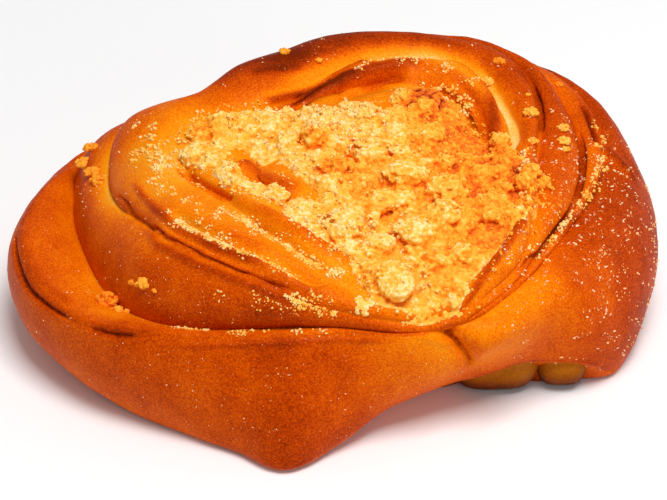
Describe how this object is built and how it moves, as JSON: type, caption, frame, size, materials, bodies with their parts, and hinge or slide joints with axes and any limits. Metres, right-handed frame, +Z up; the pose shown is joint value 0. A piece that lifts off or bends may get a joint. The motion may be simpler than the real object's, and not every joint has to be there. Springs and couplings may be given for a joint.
{
  "type": "sweet bun",
  "caption": "Swirled sweet bun of one piece of rolled dough with nested raised rims meeting in a front notch, filled with a heap of butter crumbs.",
  "frame": {"origin": "on the floor, under the middle of the bun's bounding box", "axes": "+X to the bun's right as pictured, +Y to its back, away from the notch side, +Z up"},
  "size_m": [0.1322, 0.1058, 0.0421],
  "materials": {
    "dough": "browned egg-washed crust, satin, darker on the walls and paler in the folds",
    "crumb": "rough baked butter crumbs, pale yellow with browned edges"
  },
  "bodies": {
    "root": {"bun": "dough", "streusel": "crumb"}
  },
  "joints": []
}
